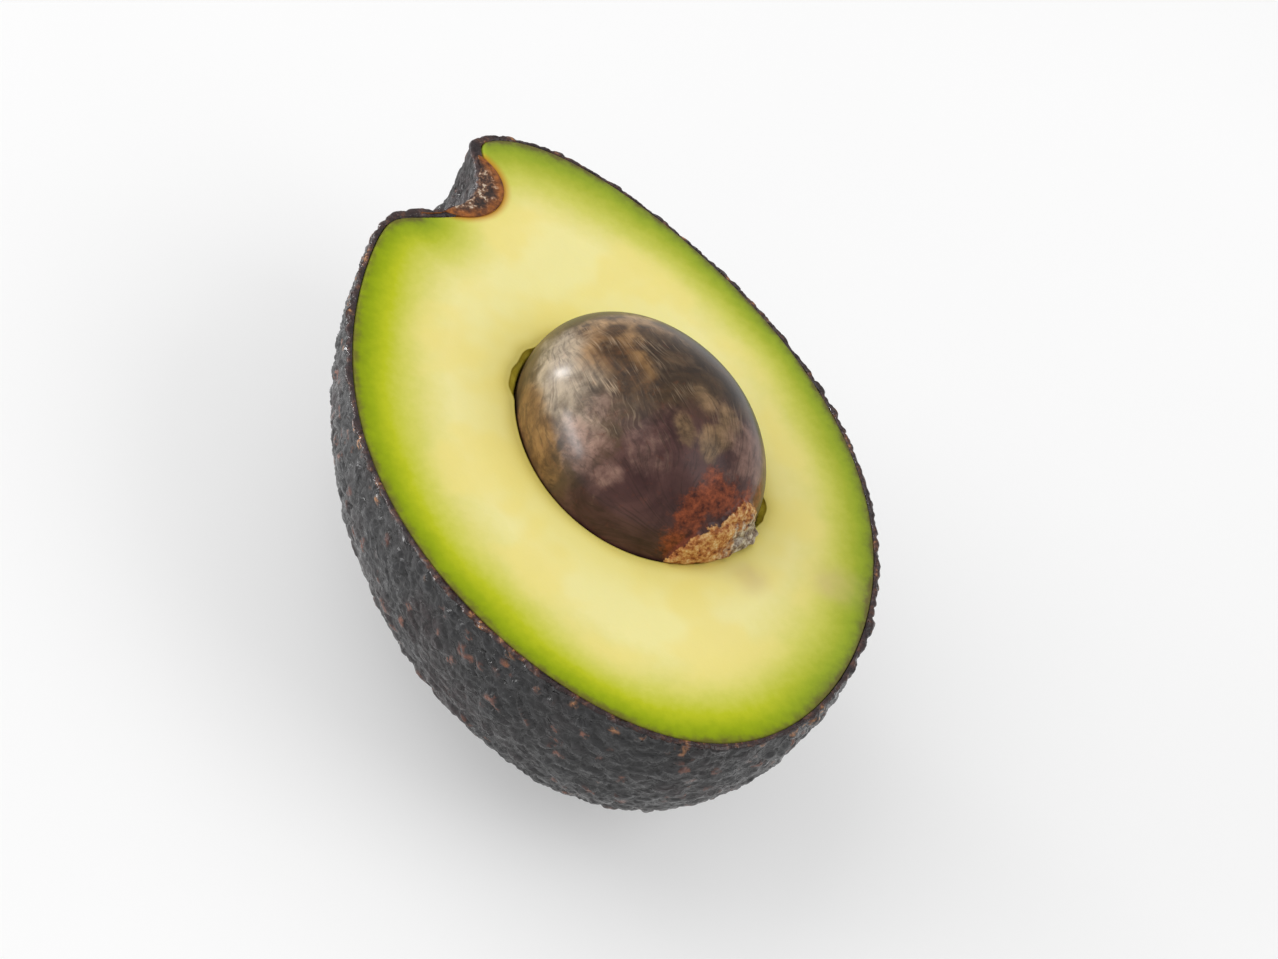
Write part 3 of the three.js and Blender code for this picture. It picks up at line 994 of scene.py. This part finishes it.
def make_flesh():
    """The cavity, the cut face and the outer wall, as rings from the cavity's bottom outwards."""
    turns, inner_turns = flesh_columns()
    edge = flesh_outside(QUARTER_TURN, turns)
    hole = flesh_inside(QUARTER_TURN, inner_turns)
    rings = [flesh_inside(polar, inner_turns) for polar in np.radians(CAVITY_POLARS)]
    rings.append(hole - EDGE_STEP + (edge - hole) * EDGE_SLANT)
    under_face = (len(rings) - 1) * FLESH_COLUMNS
    face_start = len(rings) * FLESH_COLUMNS
    to_bow = np.linalg.norm(edge[:, :2] - BOW_PLACE, axis=1)
    bow = bell(to_bow, BOW_REACH)[:, None] * BOW
    for share in np.linspace(0, 1, FACE_ROWS) ** FACE_ROW_POWER:
        way = FACE_MARGIN + share * (1 - 2 * FACE_MARGIN)
        rings.append(hole * (1 - way) + edge * way + bow * math.sin(math.pi * way**2))
    face_end = len(rings) * FLESH_COLUMNS
    rings.append(edge - EDGE_STEP)
    rings += [flesh_outside(polar, turns) for polar in np.radians(BACK_POLARS)]
    points = np.concatenate(rings)

    near_seed = distance_to(points, hole)
    waves = BROAD_WAVES * noise(points, size=12.0, seed=71)
    waves += FINE_WAVES * noise(points, size=2.5, seed=72, octaves=2)
    for distance, (depth, reach) in (
        (near_seed, CAVITY_ROUNDING),
        (distance_to(points, edge), RIM_ROUNDING),
    ):
        waves -= depth * np.exp(-distance / reach)
    points[face_start:face_end, 2] += waves[face_start:face_end]

    from_scar = np.linalg.norm(edge - SCAR_CENTRE, axis=1)
    head_start = HEAD_START * (1 - smooth_step(from_scar, *HEAD_START_REACH))
    to_green = np.concatenate([distance_to(points, edge, head_start), [0, 0]])
    near_seed = np.concatenate([near_seed, [0, FAR_FROM_SEED]])
    bottom = on_seed(np.array([[0, 0, -1.0]]), CAVITY_GAP)
    points = np.concatenate([points, bottom, [[0, 0, FLESH_LIFT - rest_depth()]]])

    rows = np.arange(len(rings) * FLESH_COLUMNS).reshape(len(rings), FLESH_COLUMNS)
    faces = []
    for lower, upper in itertools.pairwise(rows):
        faces += [*band(lower, upper, flip=True)]
    faces += fan(rows[0][::-1], len(points) - 2)
    faces += fan(rows[-1], len(points) - 1)

    narrowing = BAND_NARROWING * smooth_step(points[:, 0], *BAND_NARROWING_PLACES)
    rim = to_green * (1 + narrowing + 0.12 * noise(points, size=14.0, seed=77))
    rim = np.maximum(rim + 0.5 * noise(points, size=7.0, seed=78, octaves=2), 0)
    smudge = sum(
        most * (1 - smooth_step(np.linalg.norm(points[:, :2] - spot, axis=1), 0.2 * wide, wide))
        for spot, wide, most in SMUDGES
    )
    cavity = np.zeros(len(points))
    cavity[:under_face] = 1
    cavity[under_face:face_start] = 0.6
    cavity[-2] = 1
    attributes = {
        "rim": rim,
        "near_seed": near_seed,
        "near_scar": np.maximum(np.linalg.norm(points - SCAR_CENTRE, axis=1) - SCAR_RADIUS, 0),
        "cavity": cavity,
        "left": smooth_step(points[:, 0] + 0.35 * points[:, 1], 8, -14),
        "smudge": smudge * (0.75 + 0.5 * noise(points, size=2.0, seed=79, octaves=2)),
    }
    add_piece("flesh_fine", points, faces, flesh_material(), attributes, "flesh")


# The seed.


def make_seed():
    """The ovoid with its patches of colour, its shallow dents and its torn, pitted blunt end."""
    places, faces = ball_grid(SEED_GRID)
    smooth = on_seed(places, 0.0)
    loose = warped(places * SEED_SPAN, size=5.0, amount=1.6, seed=83) / SEED_SPAN
    masks = {name: sum_of_patches(loose, patches) for name, patches in SEED_PATCHES.items()}
    masks["plum"] = np.maximum(masks["plum"], smooth_step(loose[:, 1], *PLUM_END))

    top = np.interp(loose[:, 0], CRUST_PLACES, CRUST_TOPS)
    ragged = 0.05 * noise(smooth, size=1.6, seed=85, octaves=3)
    low_end = smooth_step(places[:, 1], -0.6, -0.8) * smooth_step(places[:, 2], -0.25, -0.1)
    crust = smooth_step(top - places[:, 2] + ragged, -0.03, 0.05) * low_end
    flake_distance = np.linalg.norm(places - FLAKE_PLACE, axis=1) + 2 * ragged
    masks["crust"] = crust
    masks["flake"] = crust * (1 - smooth_step(flake_distance, *FLAKE_REACH))

    bent = warped(places * SEED_HALF, size=9.0, amount=3.0, seed=87)
    bent = warped(bent, size=2.5, amount=0.5, seed=89)
    around = np.hypot(bent[:, 0], bent[:, 2])[:, None] / SEED_HALF[0]
    masks["run"] = bent / np.hstack([around, np.ones_like(around), around]) * MM

    pits = np.abs(noise(smooth, size=1.3, seed=91, octaves=3))
    lumps = 0.5 + 0.5 * noise(smooth, size=2.2, seed=95, octaves=2)
    lump_height = CRUST_LUMPS + CRUST_LUMPS_RIGHT * smooth_step(places[:, 0], 0.0, 0.4)
    rise = crust * (CRUST_BASE + lump_height * lumps * (1 - pits))
    rise -= FLAKE_PIT_DEPTH * masks["flake"] * (pits > FLAKE_PIT_LEVEL)
    rise *= smooth_step(places[:, 2], -0.04, 0.04)
    dents = COAT_DENTS * (noise(smooth, size=9.0, seed=97, octaves=2) - 0.5)
    points = smooth + normals_of(smooth, faces) * (rise + dents * (1 - crust))[:, None]
    add_piece("seed_fine", points, faces, seed_material(), masks, "seed")


# The scar.


def scar_sheet(across, rows):
    """Directions from the scar's centre, and along each how far the wall of the hollow lies and
    how far the scar's rough face."""
    out = np.array([math.cos(SCAR_TOWARDS), math.sin(SCAR_TOWARDS), 0])
    beside = np.array([-out[1], out[0], 0])
    a, b = np.meshgrid(across, np.linspace(0, SCAR_DEPTH, rows))
    level = np.cos(a)[..., None] * out + np.sin(a)[..., None] * beside
    down = np.sin(b)[..., None] * np.array([0, 0, 1])
    direction = (np.cos(b)[..., None] * level - down).reshape(-1, 3)

    def is_in_hollow(length):
        away = np.abs(SCAR_CENTRE + direction * length - HOLLOW_CENTRE) / HOLLOW_RADII
        return (away**HOLLOW_POWER).sum(axis=1) < 1.0

    wall = farthest(is_in_hollow, len(direction), SCAR_RADIUS * 1.6)
    on_wall = SCAR_CENTRE + direction * wall[:, None]
    rough = 0.3 * noise(on_wall, size=1.3, seed=101, octaves=3)
    rough += 0.2 * noise(on_wall, size=3.5, seed=103)
    edge = np.minimum(1 - np.abs(a) / SCAR_REACH, 1 - b / SCAR_DEPTH).ravel()
    face = wall - SCAR_PROUD - rough + SCAR_SINK * (1 - smooth_step(edge, *SCAR_EDGE))
    return direction, wall, face


def make_scar():
    """The lining between the hollow's wall and the scar's ball, cut flat on the cut face."""
    wide, deep, cut_rows = SCAR_STEPS
    across = np.linspace(-SCAR_REACH, SCAR_REACH, wide)
    direction, _, face = scar_sheet(across, deep)
    front = SCAR_CENTRE + direction * face[:, None]
    direction, wall, face = scar_sheet(across, deep + cut_rows)
    covered = np.maximum(SCAR_RADIUS + SCAR_GAP, wall + SCAR_COVER)
    back = np.maximum(covered, face + SCAR_THINNEST)
    behind = SCAR_CENTRE + direction * back[:, None]
    behind[:wide, 2] = 0.0
    front[:wide, 2] = SCAR_LIFT
    cut = []
    from_flesh = []
    for share in np.arange(1, cut_rows + 1) / (cut_rows + 1):
        row = behind[:wide] * (1 - share) + front[:wide] * share
        relief = 0.4 + noise(row, size=0.9, seed=107, octaves=3)
        row[:, 2] += SCAR_CUT_RELIEF * math.sin(math.pi * share) * relief
        cut.append(row)
        from_flesh.append(np.linalg.norm(row - behind[:wide], axis=1))
    cut = np.concatenate(cut)
    from_flesh = np.concatenate(from_flesh) + 0.5 * noise(cut, size=1.2, seed=109, octaves=2)
    count = len(behind)
    number = np.arange(count).reshape(-1, wide)
    grid = grid_faces(number)
    loop = grid_edge(number)
    faces = np.concatenate([grid, grid[:, ::-1] + count, band(loop, loop + count, flip=True)])
    points = np.concatenate([cut, front, behind])
    flesh_side = 1 - smooth_step(from_flesh, *SCAR_BROWN)
    attributes = {"flesh_side": np.concatenate([flesh_side, np.zeros(len(front)), np.ones(count)])}
    add_piece("stem_scar_fine", points, faces, scar_material(), attributes, "stem_scar")


# The stage.


def make_floor():
    mesh = bpy.data.meshes.new("floor")
    signs = [(-1, -1), (1, -1), (1, 1), (-1, 1)]
    corners = [(x * FLOOR_REACH, y * FLOOR_REACH, 0) for x, y in signs]
    mesh.from_pydata(corners, [], [(0, 1, 2, 3)])
    mesh.materials.append(floor_material())
    floor = bpy.data.objects.new("floor", mesh)
    bpy.context.scene.collection.objects.link(floor)


def make_camera():
    """The camera, where the photograph was taken from, turned to the middle of the half."""
    right = VIEW_UP.cross(VIEW_BACK).normalized()
    spot = MIDDLE + VIEW_BACK * VIEW_DISTANCE - right * VIEW_ASIDE + VIEW_UP * VIEW_BELOW
    aim = MIDDLE + right * AIM_ASIDE - VIEW_UP * AIM_BELOW
    back = (spot - aim).normalized()
    right = VIEW_UP.cross(back).normalized()
    up = back.cross(right)
    data = bpy.data.cameras.new("camera")
    data.lens = LENS
    data.sensor_width = SENSOR_WIDTH
    data.clip_start = CLIP_START
    camera = bpy.data.objects.new("camera", data)
    bpy.context.scene.collection.objects.link(camera)
    turn = Matrix((right, up, back)).transposed()
    camera.matrix_world = Matrix.Translation(spot) @ turn.to_4x4()
    bpy.context.scene.camera = camera


def make_light(name, direction, distance, width, height, watts):
    """A rectangular soft light that shines on the fruit from a direction."""
    data = bpy.data.lights.new(name, "AREA")
    data.shape = "RECTANGLE"
    data.size = width
    data.size_y = height
    data.energy = watts
    light = bpy.data.objects.new(name, data)
    bpy.context.scene.collection.objects.link(light)
    towards = Vector(direction).normalized()
    light.location = MIDDLE + towards * distance
    light.rotation_euler = towards.to_track_quat("Z", "Y").to_euler()


def make_stage():
    make_floor()
    make_camera()
    for name, values in LIGHTS.items():
        make_light(name, *values)
    world = bpy.data.worlds.new("studio")
    world.use_nodes = True
    background = world.node_tree.nodes["Background"]
    background.inputs["Color"].default_value = WHITE
    background.inputs["Strength"].default_value = WORLD_STRENGTH
    bpy.context.scene.world = world
    bpy.context.scene.view_settings.view_transform = "Standard"


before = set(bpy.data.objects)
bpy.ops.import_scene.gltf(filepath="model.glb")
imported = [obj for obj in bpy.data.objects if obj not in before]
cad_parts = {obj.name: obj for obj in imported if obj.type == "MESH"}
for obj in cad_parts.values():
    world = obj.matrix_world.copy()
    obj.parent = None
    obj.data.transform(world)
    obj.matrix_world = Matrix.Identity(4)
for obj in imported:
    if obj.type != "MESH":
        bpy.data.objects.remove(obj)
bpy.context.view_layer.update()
FLESH_LOW, FLESH_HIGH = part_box("flesh")
MIDDLE = Vector(
    (
        (FLESH_LOW.x + FLESH_HIGH.x) / 2,
        FLESH_LOW.y + FLESH_LENGTH / 2 * MM,
        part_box("skin")[1].z,
    )
)
make_stage()
make_skin()
make_flesh()
make_seed()
make_scar()
